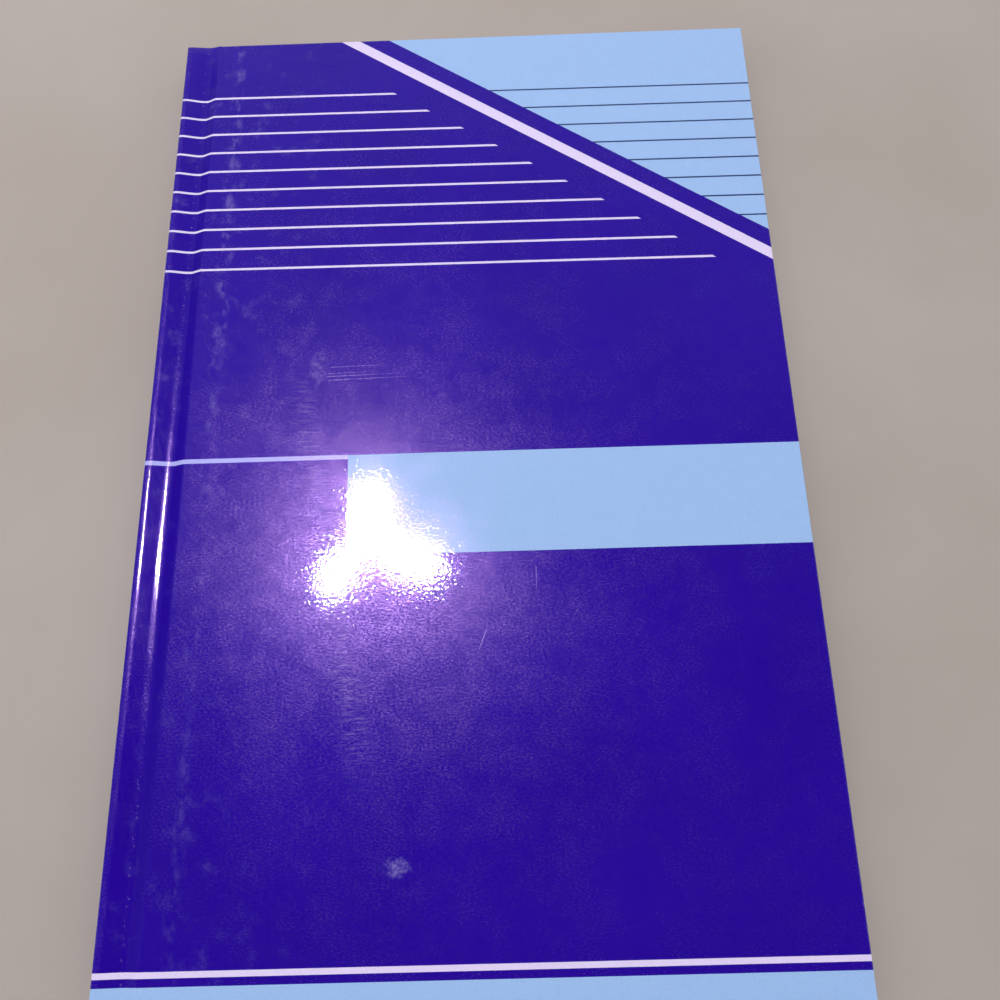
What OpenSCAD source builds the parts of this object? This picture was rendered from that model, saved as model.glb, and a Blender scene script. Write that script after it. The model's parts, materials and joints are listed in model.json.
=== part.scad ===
// Casebound record book, closed and lying on its back cover: spine at -X, head at +Y, front cover up.
// Lengths are millimetres. The origin is on the table, under the middle of the book.
// Modules work in u, the distance from the face of the spine, and are moved to X at the end.

/* [Case] */
// Overall width, from the face of the spine to the fore-edge of the boards
cover_w = 195; // [150:1:240]
// Overall height of the boards and of the spine
cover_h = 312; // [220:1:360]
// Thickness of the greyboards
board_t = 2.2; // [1.5:0.1:3]
// Thickness of the spine strip
spine_board_t = 0.7; // [0.7:0.1:2]
// Thickness of the printed covering sheet
sheet_t = 0.2; // [0.15:0.01:0.3]
// Width of the covering sheet turned in over the inner side of the case
turn_in = 15; // [10:1:20]
// Slit left between two turn-ins at a corner of a board
mitre_gap = 0.3; // [0.1:0.1:0.6]
// Overhang of the boards past the leaves at head, tail and fore-edge
square_w = 3; // [2:0.5:5]
// Rounding of the covering sheet at the edges of the boards
edge_round = 0.5; // [0.3:0.05:0.6]
// Rounding of the covering sheet along the edges of the spine
spine_round = 0.8; // [0.5:0.1:0.8]

/* [Joint] */
// Distance from the face of the spine to the inner edges of the boards
board_inset = 12.2; // [10.6:0.2:14]
// Distance from the face of the spine to the bottom of the pressed groove
groove_u = 8.2; // [8:0.1:9.6]
// Depth of the pressed groove
groove_depth = 1.3; // [0.4:0.1:1.4]
// Width of the flat shoulder between the spine strip and the groove
shoulder_w = 0.2; // [0.1:0.1:1]
// Length of the bend from the shoulder into the groove
shoulder_bend = 0.5; // [0.3:0.1:1.5]
// Length of the bends at the bottom of the groove and up at the board
groove_bend = 1; // [0.5:0.1:1.5]

/* [Text block] */
// Thickness of one leaf
leaf_t = 0.085; // [0.07:0.005:0.12]
// Air between two leaves
leaf_gap = 0.005; // [0.004:0.001:0.02]
// Pairs of leaves in the whole block
leaf_pairs = 38; // [30:1:38]
// Pairs of leaves sewn into one section
section_pairs = 8; // [8:1:10]
// Width of the sewn margin that stays with the spine
gutter_w = 4.8; // [4.6:0.1:8]
// Thickness of the endpapers
endpaper_t = 0.12; // [0.1:0.01:0.2]
// Air between sheets that lie on each other but move apart
rest_gap = 0.02; // [0.01:0.01:0.05]

/* [Spine] */
// Air between the spine strip and the lined back of the block
hollow_gap = 0.4; // [0.2:0.1:0.8]
// Thickness of the paper lining on the back of the block
lining_t = 0.2; // [0.1:0.05:0.4]
// Thickness of the gauze glued to the back of the block
mull_t = 0.25; // [0.15:0.05:0.4]
// Distance that the gauze stops short of the head and the tail of the leaves
mull_inset = 12; // [5:1:25]
// Distance that the lining stops short of the head and the tail of the leaves
lining_inset = 4; // [2:1:10]
// How far the folded backs of the sections are crowned
fold_crown = 0.3; // [0.1:0.05:0.4]

/* [Sewing] */
// Thickness of the sewing thread
thread_d = 0.5; // [0.3:0.05:0.6]
// Air around the thread in its holes
thread_air = 0.05; // [0.02:0.01:0.1]
// Depth of the long stitches inside the folds
stitch_depth = 2; // [1.5:0.1:3]
// Number of sewing stations along the back
station_count = 5; // [3:1:7]
// Distance from the head and the tail of the leaves to the end stations
station_inset = 18; // [10:1:40]

/* [Hidden] */
// Steps in a quarter of a rounded edge, and in one flank of the groove
arc_steps = 6;
groove_steps = 12;
// Sides of the thread
thread_sides = 6;
// How far a cutting shape reaches past what it cuts
overcut = 1;

// Plan: the groove starts beside the spine strip, and the leaves end one square inside the boards.
leaf_h = cover_h - 2 * square_w;
back_u = 2 * sheet_t + spine_board_t + hollow_gap + lining_t + mull_t;
gutter_u = back_u + gutter_w;
groove_start = sheet_t + spine_board_t + shoulder_w;
leaf_u = gutter_u + rest_gap;
fore_u = cover_w - square_w;

// The stack from the table up, the same from both covers inwards.
covered_t = 2 * sheet_t + board_t;
side_t = covered_t + 2 * endpaper_t + 2 * rest_gap;
pair_pitch = 2 * (leaf_t + leaf_gap);
block_t = leaf_pairs * pair_pitch - leaf_gap;
block_z = side_t;
block_top = block_z + block_t;
book_t = block_top + side_t;

// Levels of the front endpaper, from its flyleaf up to the underside of the board.
flyleaf_z = block_top + rest_gap;
flyleaf_top = flyleaf_z + endpaper_t;
fold_z = flyleaf_top + rest_gap;
turn_in_z = book_t - covered_t;
board_z = turn_in_z + sheet_t;
board_top = board_z + board_t;

board_edge_round = min(edge_round, 3 * sheet_t);
spine_edge_round = min(spine_round, 0.9 * (sheet_t + spine_board_t));
section_count = ceil(leaf_pairs / section_pairs);
station_pitch = (leaf_h - 2 * station_inset) / (station_count - 1);
thread_hole = thread_d + 2 * thread_air;
stitch_u = back_u + stitch_depth;
link_u = back_u + fold_crown + thread_hole / 2;

cover_blue = [0.14, 0.04, 0.56];
board_grey = [0.55, 0.52, 0.48];
paper_white = [0.93, 0.92, 0.88];
endpaper_white = [0.96, 0.95, 0.92];
gauze_cream = [0.87, 0.83, 0.72];
kraft_brown = [0.66, 0.52, 0.36];
thread_cream = [0.9, 0.87, 0.78];

function two_digits(i) = str(i < 10 ? "0" : "", i);
function pair_name(i) = str("leaf_pair_", two_digits(i));
function section_name(i) = str("section_", i, "_fold");

// Points along an arc, both ends included
function arc(centre, radius, from, to) =
    [for (i = [0 : arc_steps]) let (a = from + (to - from) * i / arc_steps)
        centre + radius * [cos(a), sin(a)]];

function reversed(points) = [for (i = [len(points) - 1 : -1 : 0]) points[i]];

// Share of the fall of a straight flank at a distance down it, with a bend at either end
function flank_share(at, length, upper_bend, lower_bend) =
    let (slope = 1 / (length - (upper_bend + lower_bend) / 2))
    at < upper_bend ? slope * at * at / (2 * upper_bend)
        : at > length - lower_bend ? 1 - slope * (length - at) ^ 2 / (2 * lower_bend)
        : slope * (at - upper_bend / 2);

// Share of the groove's depth at u: nothing at the shoulder and the board, all of it at the bottom
function groove_share(u) = u < groove_u
    ? flank_share(u - groove_start, groove_u - groove_start, shoulder_bend, groove_bend)
    : flank_share(board_inset - u, board_inset - groove_u, groove_bend, groove_bend);

// Height of the covering sheet's upper face over the joint
function joint_top(u) = book_t - groove_depth * groove_share(u);

// An outline in u and z, drawn out along the height of the book
module along_height(height) {
    translate([0, height / 2, 0]) rotate([90, 0, 0]) linear_extrude(height) children();
}

// An outline in y and z, drawn out from one u to another
module along_width(from, to) {
    translate([from, 0, 0]) rotate([90, 0, 90]) linear_extrude(to - from) children();
}

// A flat plate, centred on the height of the book
module plate(from_u, to_u, height, z, top) {
    translate([from_u, -height / 2, z]) cube([to_u - from_u, height, top - z]);
}

// The same piece on the other side of the book
module turned_over() {
    translate([0, 0, book_t]) mirror([0, 0, 1]) children();
}

module board() {
    plate(board_inset, cover_w - sheet_t, cover_h - 2 * sheet_t, board_z, board_top);
}

// A board with its covering, as one block with rounded outer edges
module covered_board() {
    r = board_edge_round;
    intersection() {
        along_height(cover_h) polygon(concat(
            [[board_inset, turn_in_z]],
            arc([cover_w - r, turn_in_z + r], r, -90, 0),
            arc([cover_w - r, book_t - r], r, 0, 90),
            [[board_inset, book_t]]
        ));
        along_width(board_inset, cover_w) polygon(concat(
            arc([r - cover_h / 2, turn_in_z + r], r, 180, 270),
            arc([cover_h / 2 - r, turn_in_z + r], r, 270, 360),
            arc([cover_h / 2 - r, book_t - r], r, 0, 90),
            arc([r - cover_h / 2, book_t - r], r, 90, 180)
        ));
    }
}

// The slits where the turn-ins of two edges meet at 45 degrees
module mitres() {
    diagonal = sqrt(2) * (turn_in - board_edge_round) + overcut;
    for (side = [-1, 1])
        translate([cover_w - board_edge_round, side * (cover_h / 2 - board_edge_round), turn_in_z])
            rotate([0, 0, 180 + side * 45])
                translate([0, -mitre_gap / 2, -overcut])
                    cube([diagonal, mitre_gap, sheet_t + overcut]);
}

// The printed sheet over the outer face of a board, round three edges and in over its inner side
module cover_sheet() {
    color(cover_blue) difference() {
        covered_board();
        board();
        plate(board_inset - overcut, cover_w - turn_in, cover_h - 2 * turn_in,
            turn_in_z - overcut, board_z);
        mitres();
    }
}

// One layer of the covering sheet, pressed into the groove between spine and board
module joint_layer(layer, height) {
    first = [for (i = [0 : groove_steps]) groove_start + (groove_u - groove_start) * i / groove_steps];
    last = [for (i = [1 : groove_steps]) groove_u + (board_inset - rest_gap - groove_u) * i / groove_steps];
    upper = [for (u = concat(first, last)) [u, joint_top(u) - layer * sheet_t]];
    lower = [for (p = upper) p - [0, sheet_t]];
    along_height(height) polygon(concat(upper, reversed(lower)));
}

// The sheet over the joint, doubled at head and tail where it is turned in
module joint() {
    color(cover_blue) {
        joint_layer(0, cover_h);
        for (side = [-1, 1])
            translate([0, side * (cover_h - turn_in) / 2, 0]) joint_layer(1, turn_in);
    }
}

// A pastedown: over the board in the middle, and stepped over the turn-ins at three edges
module pastedown() {
    color(endpaper_white) difference() {
        union() {
            plate(board_inset, fore_u, leaf_h, turn_in_z - endpaper_t, turn_in_z);
            plate(board_inset, cover_w - turn_in, cover_h - 2 * turn_in, turn_in_z - endpaper_t, board_z);
        }
        plate(board_inset - overcut, cover_w - turn_in - endpaper_t, cover_h - 2 * (turn_in + endpaper_t),
            turn_in_z - endpaper_t - overcut, board_z - endpaper_t);
    }
}

// The fold of an endpaper: tipped to the first leaf below, and crossing to the board above
module hinge_paper() {
    fold_u = back_u - endpaper_t;
    board_side_u = board_inset - rest_gap;
    color(endpaper_white) along_height(leaf_h) polygon([
        [gutter_u, flyleaf_z],
        [fold_u, flyleaf_z],
        [fold_u, fold_z + endpaper_t],
        [board_side_u, board_z],
        [board_side_u, board_z - endpaper_t],
        [back_u, fold_z],
        [back_u, flyleaf_top],
        [gutter_u, flyleaf_top]
    ]);
}

module flyleaf() {
    color(endpaper_white) plate(leaf_u, fore_u, leaf_h, flyleaf_z, flyleaf_top);
}

module front_board() { color(board_grey) board(); }
module front_cover_sheet() { cover_sheet(); }
module front_joint() { joint(); }
module front_pastedown() { pastedown(); }
module front_hinge_paper() { hinge_paper(); }
module front_flyleaf() { flyleaf(); }

module back_board() { color(board_grey) turned_over() board(); }
module back_cover_sheet() { turned_over() cover_sheet(); }
module back_joint() { turned_over() joint(); }
module back_pastedown() { turned_over() pastedown(); }
module back_hinge_paper() { turned_over() hinge_paper(); }
module back_flyleaf() { turned_over() flyleaf(); }

// Outline of the spine, cut square at to_u and set in by inset on its three outer sides
module spine_outline(inset, to_u) {
    r = spine_edge_round;
    polygon(concat(
        [[to_u, book_t - inset]],
        arc([r, book_t - r], r - inset, 90, 180),
        arc([r, r], r - inset, 180, 270),
        [[to_u, inset]]
    ));
}

module spine_board() {
    color(board_grey) along_height(cover_h - 2 * sheet_t) spine_outline(sheet_t, sheet_t + spine_board_t);
}

// The sheet round the spine, with its turn-ins over the head and the tail of the strip
module spine_cover_sheet() {
    inner_u = sheet_t + spine_board_t;
    color(cover_blue) {
        along_height(cover_h) difference() {
            spine_outline(0, groove_start);
            spine_outline(sheet_t, groove_start + overcut);
        }
        for (side = [-1, 1]) {
            translate([0, side * (cover_h - sheet_t) / 2, 0])
                along_height(sheet_t) spine_outline(0, inner_u + sheet_t);
            translate([0, side * (cover_h - turn_in) / 2, 0])
                plate(inner_u, inner_u + sheet_t, turn_in, sheet_t, book_t - sheet_t);
        }
    }
}

module mull() {
    color(gauze_cream) plate(back_u - mull_t, back_u, leaf_h - 2 * mull_inset, block_z, block_top);
}

module spine_lining() {
    color(kraft_brown)
        plate(back_u - mull_t - lining_t, back_u - mull_t, leaf_h - 2 * lining_inset, block_z, block_top);
}

// First pair of leaves in a section, and how many pairs it has
function section_first(i) = (i - 1) * section_pairs;
function section_size(i) = min(section_pairs, leaf_pairs - section_first(i));
function section_z(i) = block_z + section_first(i) * pair_pitch;
function section_top(i) = section_z(i) + section_size(i) * pair_pitch - leaf_gap;
function section_middle(i) = (section_z(i) + section_top(i)) / 2;

// Heights along the back at which the thread passes through the folds
function stations() = [for (i = [0 : station_count - 1]) station_inset - leaf_h / 2 + i * station_pitch];

// The holes and the sawn notches that the thread runs in
module sewing_holes(middle) {
    half = thread_hole / 2;
    long_stitch = leaf_h - 2 * station_inset + thread_hole;
    plate(stitch_u - half, stitch_u + half, long_stitch, middle - half, middle + half);
    for (y = stations()) translate([0, y, 0]) {
        plate(back_u - overcut, stitch_u, thread_hole, middle - half, middle + half);
        plate(back_u - overcut, link_u + half, thread_hole, block_z - overcut, block_top + overcut);
    }
}

// The sewn and glued folds of one section: a margin of all its leaves, crowned at the back
module section_fold(i) {
    middle = section_middle(i);
    half = (section_top(i) - section_z(i)) / 2;
    radius = (half * half + fold_crown * fold_crown) / (2 * fold_crown);
    spread = asin(half / radius);
    color(paper_white) difference() {
        along_height(leaf_h) polygon(concat(
            [[gutter_u, middle + half]],
            arc([back_u + radius, middle], radius, 180 - spread, 180 + spread),
            [[gutter_u, middle - half]]
        ));
        sewing_holes(middle);
    }
}

// A straight run of thread from one point to another along one axis
module thread_run(from, to) {
    run = to - from;
    turn = abs(run[0]) > 0 ? [0, 90, 0] : abs(run[1]) > 0 ? [-90, 0, 0] : [0, 0, 0];
    length = norm(run) + thread_d;
    translate(from) rotate(turn) translate([0, 0, -thread_d / 2])
        cylinder(d = thread_d, h = length, $fn = thread_sides);
}

// One thread: a long stitch inside each section, out at each station and on to the next section
module sewing_thread() {
    ends = [stations()[0], stations()[station_count - 1]];
    color(thread_cream) {
        for (i = [1 : section_count]) {
            z = section_middle(i);
            thread_run([stitch_u, ends[0], z], [stitch_u, ends[1], z]);
            for (y = stations()) thread_run([link_u, y, z], [stitch_u, y, z]);
        }
        for (y = stations())
            thread_run([link_u, y, section_middle(1)], [link_u, y, section_middle(section_count)]);
    }
}

// Two leaves that lie on each other, from the sewn margin to the fore-edge; pair 1 is at the front
module leaf_pair(i) {
    z = block_top - i * pair_pitch + leaf_gap;
    color(paper_white) for (j = [0, 1]) {
        leaf_z = z + j * (leaf_t + leaf_gap);
        plate(leaf_u, fore_u, leaf_h, leaf_z, leaf_z + leaf_t);
    }
}

translate([-cover_w / 2, 0, 0]) {
    front_board();
    front_cover_sheet();
    front_joint();
    front_pastedown();
    front_hinge_paper();
    front_flyleaf();
    back_board();
    back_cover_sheet();
    back_joint();
    back_pastedown();
    back_hinge_paper();
    back_flyleaf();
    spine_board();
    spine_cover_sheet();
    spine_lining();
    mull();
    sewing_thread();
    for (i = [1 : section_count]) section_fold(i);
    for (i = [1 : leaf_pairs]) leaf_pair(i);
}
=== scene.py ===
"""The looks of a casebound record book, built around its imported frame.

Shapes are worked out in millimetres and written to meshes in metres. As in the frame, the spine is
at -X, the head at +Y and the front cover up. u is the distance from the face of the spine.
"""
import json
import math
import random

import bmesh
import bpy
from mathutils import Matrix, Vector, noise


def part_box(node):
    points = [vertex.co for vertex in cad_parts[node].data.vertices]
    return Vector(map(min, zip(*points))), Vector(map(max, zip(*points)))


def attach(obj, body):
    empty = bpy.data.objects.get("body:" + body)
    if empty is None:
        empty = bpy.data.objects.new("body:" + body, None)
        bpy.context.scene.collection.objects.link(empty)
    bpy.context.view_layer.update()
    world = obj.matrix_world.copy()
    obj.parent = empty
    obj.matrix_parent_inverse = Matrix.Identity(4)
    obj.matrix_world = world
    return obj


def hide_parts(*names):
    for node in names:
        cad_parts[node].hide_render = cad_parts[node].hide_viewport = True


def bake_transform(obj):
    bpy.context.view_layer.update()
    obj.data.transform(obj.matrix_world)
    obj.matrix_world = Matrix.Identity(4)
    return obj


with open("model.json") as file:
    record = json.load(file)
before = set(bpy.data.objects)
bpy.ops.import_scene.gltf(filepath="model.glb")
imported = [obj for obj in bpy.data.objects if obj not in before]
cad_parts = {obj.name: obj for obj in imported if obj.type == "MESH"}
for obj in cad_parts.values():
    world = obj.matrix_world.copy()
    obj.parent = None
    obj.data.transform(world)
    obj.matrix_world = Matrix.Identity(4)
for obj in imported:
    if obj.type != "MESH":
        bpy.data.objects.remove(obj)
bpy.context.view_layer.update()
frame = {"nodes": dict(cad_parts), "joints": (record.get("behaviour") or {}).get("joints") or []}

MM = 0.001
SHEET_MAP = "sheet_mm"
ROOT = "sewn_block"
SHARP_ANGLE = math.radians(40)


def box_mm(node):
    """Lowest and highest corner of a CAD node at rest, in millimetres."""
    return [[value / MM for value in corner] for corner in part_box(node)]


def joint_place(name):
    """(u, z) of a hinge's axis, in millimetres."""
    at = next(joint["pos_m"] for joint in frame["joints"] if joint["name"] == name)
    return at[0] / MM - SPINE_X, at[2] / MM


# Measures of the case, read from the frame
SPINE_X = box_mm("spine_cover_sheet")[0][0]
COVER_W = box_mm("front_cover_sheet")[1][0] - SPINE_X
HALF_H = box_mm("front_cover_sheet")[1][1]
TOP = box_mm("front_cover_sheet")[1][2]
TURN_IN_Z = box_mm("front_cover_sheet")[0][2]
BOARD_U = box_mm("front_cover_sheet")[0][0] - SPINE_X
GROOVE_START = box_mm("front_joint")[0][0] - SPINE_X
BOARD_Z = box_mm("front_board")[0][2]
HINGE_U, HINGE_Z = joint_place("front_cover_hinge")

# Measures of the case that the frame's boxes don't hold
SHEET_T = 0.2
TURN_IN = 15.0
EDGE_ROUND = 0.5
SPINE_ROUND = 0.8
GROOVE_U = 8.2
GROOVE_DEPTH = 1.3
SHOULDER_BEND = 1.4
FOOT_BEND = 2.6
GROOVE_BEND = 1.0

# The corners of a cover are rounder than its edges, and reach out by this share of them
CORNER_SHARE = 0.8

# The sheet's folds at head and tail are round, by degrees, and its second layer ends over a narrow step
FOLD_ANGLES = (8, 30, 60, 90)
TURN_IN_END_W = SHEET_T / 4

# The groove is less deep by the head and the tail: share of its depth there, and how far in that goes
GROOVE_END_SHARE, GROOVE_END_RUN = 0.45, 22.0

# Pressing leaves the groove uneven: share of its depth, length of a wave, and place in the noise
GROOVE_UNEVEN, GROOVE_WAVE, GROOVE_NOISE = 0.05, 38.0, (3.1, 0.7)

# Hollows of the glued boards, and the faint ridge that the press left beside the joint
RIPPLE_DEPTH, RIPPLE_WAVE_U, RIPPLE_WAVE_Y, RIPPLE_NOISE = 0.07, 55.0, 60.0, 2.3
RIPPLE_MARGIN = 14.0
RIDGE_U, RIDGE_HALF_W, RIDGE_H = 19.4, 1.4, 0.02

# The mesh is finer across the ridge, and flat faces end in a narrow strip, so that the shading of a
# rounded edge doesn't reach far in
RIDGE_FINE_HALF_W = 1.5
RIM_W = 0.3

# Measures of the paper
LEAF_HALF_H = box_mm("front_flyleaf")[1][1]
FORE_U = box_mm("front_flyleaf")[1][0] - SPINE_X
FLYLEAF_LOW, FLYLEAF_HIGH = box_mm("front_flyleaf")[0][2], box_mm("front_flyleaf")[1][2]
ENDPAPER_T = FLYLEAF_HIGH - FLYLEAF_LOW
LEAF_T = 0.085
LEAF_START = 0.8

# The folded backs of the sections. Their map is stretched, so that the layers of nested sheets show
FOLD_DEPTH, FOLD_CROWN, FOLD_MAP_STRETCH = 1.4, 0.3, 10.0

# The endpaper sinks from the turn-ins to the board over a narrow step, and starts flat at its fold
TURN_IN_STEP_W = 1.2
HINGE_FLAT_W = 2.0

# How far a leaf may be cut short or long
TRIM_SHORT, TRIM_LONG, TRIM_SEED = 0.12, 0.05, 76

# Where the leaves leave the folds and where they lie with their own body, from the hinge
LEAF_BEND = (1.2, 9.0)

# The sheet goes on round the spine: places on it are counted back from the edge of the front cover
SPINE_PATH = math.pi * SPINE_ROUND + TOP - 2 * SPINE_ROUND
BACK_START = 2 * SPINE_ROUND - SPINE_PATH


def smooth(value, start, end):
    """0 before start, 1 after end, with no corner between them."""
    share = min(max((value - start) / (end - start), 0.0), 1.0)
    return share * share * (3 - 2 * share)


def steps(start, end, count):
    """count + 1 even steps, both ends included."""
    return [start + (end - start) * i / count for i in range(count + 1)]


def flank_share(at, length, upper_bend, lower_bend):
    """Share of the fall of a straight flank at a distance down it, with a bend at either end."""
    slope = 1 / (length - (upper_bend + lower_bend) / 2)
    if at < upper_bend:
        return slope * at * at / (2 * upper_bend)
    if at > length - lower_bend:
        return 1 - slope * (length - at) ** 2 / (2 * lower_bend)
    return slope * (at - upper_bend / 2)


def groove_drop(u, y):
    """How far the pressed groove lies below the boards."""
    if u < GROOVE_U:
        share = flank_share(u - GROOVE_START, GROOVE_U - GROOVE_START, SHOULDER_BEND, FOOT_BEND)
    else:
        share = flank_share(BOARD_U - u, BOARD_U - GROOVE_U, GROOVE_BEND, GROOVE_BEND)
    noise_x, noise_z = GROOVE_NOISE
    uneven = 1 + GROOVE_UNEVEN * noise.noise(Vector((noise_x, y / GROOVE_WAVE, noise_z)))
    pressed = GROOVE_END_SHARE + (1 - GROOVE_END_SHARE) * smooth(HALF_H - abs(y), 0, GROOVE_END_RUN)
    return GROOVE_DEPTH * share * uneven * pressed


def side_z(z, front):
    """A height on the front half of the book, or the same height on its back half."""
    return z if front else TOP - z


def sheet_place(u, y, front):
    """Place of a point of the covering on the flat sheet: across from the spine, down from the head."""
    across = u if front else BACK_START - u
    return across, HALF_H - y


# Meshes


def make_piece(name, points, faces, places, material, closed=True):
    """A smooth shaded object from points (u, y, z) in millimetres, with places as its flat map."""
    mesh = bpy.data.meshes.new(name)
    mesh.from_pydata([((u + SPINE_X) * MM, y * MM, z * MM) for u, y, z in points], [], faces)
    flat_map = mesh.uv_layers.new(name=SHEET_MAP)
    for loop in mesh.loops:
        flat_map.data[loop.index].uv = places[loop.vertex_index]
    if closed:
        work = bmesh.new()
        work.from_mesh(mesh)
        bmesh.ops.recalc_face_normals(work, faces=work.faces)
        work.to_mesh(mesh)
        work.free()
    mesh.shade_smooth()
    mesh.set_sharp_from_angle(angle=SHARP_ANGLE)
    mesh.materials.append(material)
    piece = bpy.data.objects.new(name, mesh)
    bpy.context.scene.collection.objects.link(piece)
    return piece


def sheet_solid(outer, inner, flat):
    """Points, faces and places of one closed sheet between two grids of points of the same size."""
    rows, columns = len(outer), len(outer[0])
    layer = rows * columns
    points = [p for row in outer for p in row] + [p for row in inner for p in row]
    places = [p for row in flat for p in row] * 2
    faces = []
    for row in range(rows - 1):
        for column in range(columns - 1):
            corner = row * columns + column
            quad = (corner, corner + 1, corner + columns + 1, corner + columns)
            faces.append(quad)
            faces.append(tuple(layer + i for i in reversed(quad)))
    rim = list(range(columns))
    rim += [row * columns + columns - 1 for row in range(1, rows)]
    rim += [(rows - 1) * columns + column for column in range(columns - 2, -1, -1)]
    rim += [row * columns for row in range(rows - 2, 0, -1)]
    for a, b in zip(rim, rim[1:] + rim[:1]):
        faces.append((b, a, layer + a, layer + b))
    return points, faces, places


def sheets_piece(name, solids, material):
    """One object from several closed sheets."""
    points, faces, places = [], [], []
    for more_points, more_faces, more_places in solids:
        first = len(points)
        points += more_points
        places += more_places
        faces += [tuple(first + i for i in face) for face in more_faces]
    return make_piece(name, points, faces, places, material)


# Pieces of the case


def cover_ripple(u, y):
    """The slight hollows of a glued board, and the faint ridge beside its joint."""
    margin = min(u - BOARD_U, COVER_W - EDGE_ROUND - u, HALF_H - EDGE_ROUND - abs(y))
    at = Vector((u / RIPPLE_WAVE_U, y / RIPPLE_WAVE_Y, RIPPLE_NOISE))
    hollow = 0.5 + 0.5 * noise.noise(at)
    ridge = math.exp(-(((u - RIDGE_U) / RIDGE_HALF_W) ** 2))
    return smooth(margin, 0, RIPPLE_MARGIN) * (RIDGE_H * ridge - RIPPLE_DEPTH * hollow)


def edge_profile():
    """(outward, z) down the rounded edge of a covered board and in along its turn-in."""
    quarter = steps(0, math.pi / 2, 5)
    profile = [(EDGE_ROUND * math.sin(a), TOP - EDGE_ROUND * (1 - math.cos(a))) for a in quarter[1:]]
    profile += [
        (EDGE_ROUND * math.cos(a), TURN_IN_Z + EDGE_ROUND * (1 - math.sin(a))) for a in quarter
    ]
    profile += [(out, TURN_IN_Z) for out in steps(0, EDGE_ROUND - TURN_IN, 3)[1:]]
    return profile


def cover_face():
    """Points, faces and the open rim of a cover's outer face: the tail, the fore-edge and the head."""
    last_u, last_y = COVER_W - EDGE_ROUND, HALF_H - EDGE_ROUND
    ridge_us = steps(RIDGE_U - RIDGE_FINE_HALF_W, RIDGE_U + RIDGE_FINE_HALF_W, 10)
    us = steps(BOARD_U, ridge_us[0], 3)[:-1] + ridge_us
    us += steps(ridge_us[-1], last_u - RIM_W, 52)[1:] + [last_u]
    ys = [-last_y] + steps(RIM_W - last_y, last_y - RIM_W, 92) + [last_y]
    columns, rows = len(us), len(ys)
    points = [(u, y, TOP + cover_ripple(u, y)) for y in ys for u in us]
    faces = []
    for row in range(rows - 1):
        for column in range(columns - 1):
            corner = row * columns + column
            faces.append((corner, corner + 1, corner + columns + 1, corner + columns))
    rim = list(range(columns))
    rim += [row * columns + columns - 1 for row in range(1, rows)]
    rim += [(rows - 1) * columns + column for column in range(columns - 2, -1, -1)]
    return points, faces, rim


def turn_in_edges(points, faces, rim):
    """Adds the rounded edges and the mitred turn-ins below the rim of a cover's outer face."""
    last_u, last_y = COVER_W - EDGE_ROUND, HALF_H - EDGE_ROUND
    upper = rim
    for out, z in edge_profile():
        wide = (last_u + out - BOARD_U) / (last_u - BOARD_U)
        high = (last_y + out) / last_y
        pull = max(out, 0) * (1 - CORNER_SHARE)
        lower = []
        for at in rim:
            u, y, _ = points[at]
            corner = u == last_u and abs(y) == last_y
            u = BOARD_U + (u - BOARD_U) * wide - (pull if corner else 0)
            y = y * high - math.copysign(pull if corner else 0, y)
            lower.append(len(points))
            points.append((u, y, z))
        for i in range(len(rim) - 1):
            faces.append((upper[i + 1], upper[i], lower[i], lower[i + 1]))
        upper = lower


def thicken(piece):
    """Gives an open sheet its thickness, inwards."""
    thickness = piece.modifiers.new("sheet thickness", "SOLIDIFY")
    thickness.thickness = SHEET_T * MM
    thickness.offset = -1
    graph = bpy.context.evaluated_depsgraph_get()
    solid = piece.evaluated_get(graph)
    thick = bpy.data.meshes.new_from_object(solid, preserve_all_data_layers=True, depsgraph=graph)
    piece.modifiers.clear()
    piece.data = thick
    piece.data.set_sharp_from_angle(angle=SHARP_ANGLE)


def cover_sheet(side, front, material):
    """The printed sheet over one board: outer face, three rounded edges and mitred turn-ins."""
    points, faces, rim = cover_face()
    turn_in_edges(points, faces, rim)
    places = [sheet_place(u, y, front) for u, y, _ in points]
    points = [(u, y, side_z(z, front)) for u, y, z in points]
    if not front:
        faces = [tuple(reversed(face)) for face in faces]
    piece = make_piece(side + "_cover_skin", points, faces, places, material, closed=False)
    thicken(piece)
    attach(piece, side + "_cover")
    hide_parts(side + "_cover_sheet")


def folded_rows(middle_count):
    """Rows of (y, outer depth, inner depth): double where turned in, round at the folds."""
    ends = []
    for angle in FOLD_ANGLES:
        a = math.radians(angle)
        outer = SHEET_T * (1 - math.sin(a))
        ends.append((HALF_H - SHEET_T * (1 - math.cos(a)), outer, 2 * SHEET_T - outer))
    ends[-1] = (HALF_H - SHEET_T, 0, 2 * SHEET_T)
    ends += [(y, 0, 2 * SHEET_T) for y in steps(HALF_H - SHEET_T, HALF_H - TURN_IN, 5)[1:]]
    last_single = HALF_H - TURN_IN - TURN_IN_END_W
    rows = [(-y, outer, inner) for y, outer, inner in ends]
    rows += [(y, 0, SHEET_T) for y in steps(-last_single, last_single, middle_count)]
    return rows + ends[::-1]


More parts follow.
